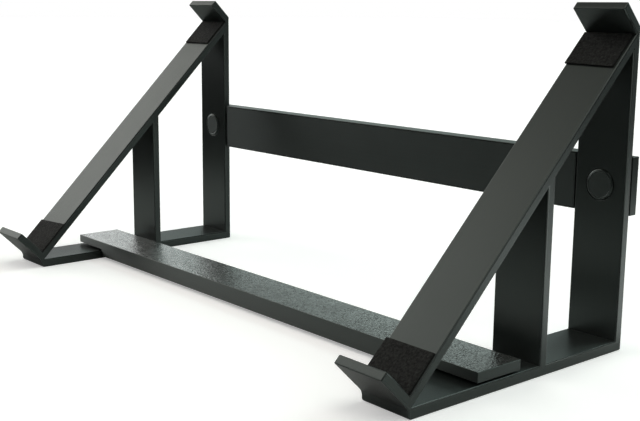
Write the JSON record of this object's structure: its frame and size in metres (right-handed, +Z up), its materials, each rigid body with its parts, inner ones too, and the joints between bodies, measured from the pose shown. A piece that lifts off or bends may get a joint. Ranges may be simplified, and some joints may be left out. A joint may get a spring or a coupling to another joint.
{
  "type": "pedalboard stand",
  "caption": "Knock-down slanted stand: side frames with lips and foam pads carry a board at 45 degrees, and pegged cross bars tie the frames together.",
  "frame": {"origin": "on the floor, at the middle of the stand's box", "axes": "+X along the cross bars to the right-hand frame, +Y from the lower lips to the uprights, +Z up"},
  "size_m": [0.375, 0.1766, 0.1761],
  "materials": {
    "frame_print": "dark grey 3-D printed plastic with fine layer lines",
    "bar_print": "dark grey 3-D printed plastic, stippled by the print bed on its broad outer face",
    "foam": "black closed-cell foam with a fine grain",
    "tape": "black double-sided adhesive tape"
  },
  "bodies": {
    "side_frames": {"left_side_frame": "frame_print", "right_side_frame": "frame_print", "left_lower_pad": "foam", "left_upper_pad": "foam", "right_lower_pad": "foam", "right_upper_pad": "foam", "left_lower_tape": "tape", "left_upper_tape": "tape", "right_lower_tape": "tape", "right_upper_tape": "tape"},
    "front_bar": {"front_cross_bar": "bar_print"},
    "rear_bar": {"rear_cross_bar": "bar_print"}
  },
  "joints": [
    {"name": "front_bar_lift", "type": "slide", "parent": "side_frames", "child": "front_bar", "axis": [0, 0, 1], "range_m": [0, 0.012]},
    {"name": "rear_bar_pull", "type": "slide", "parent": "side_frames", "child": "rear_bar", "axis": [0, 1, 0], "range_m": [0, 0.012]}
  ]
}
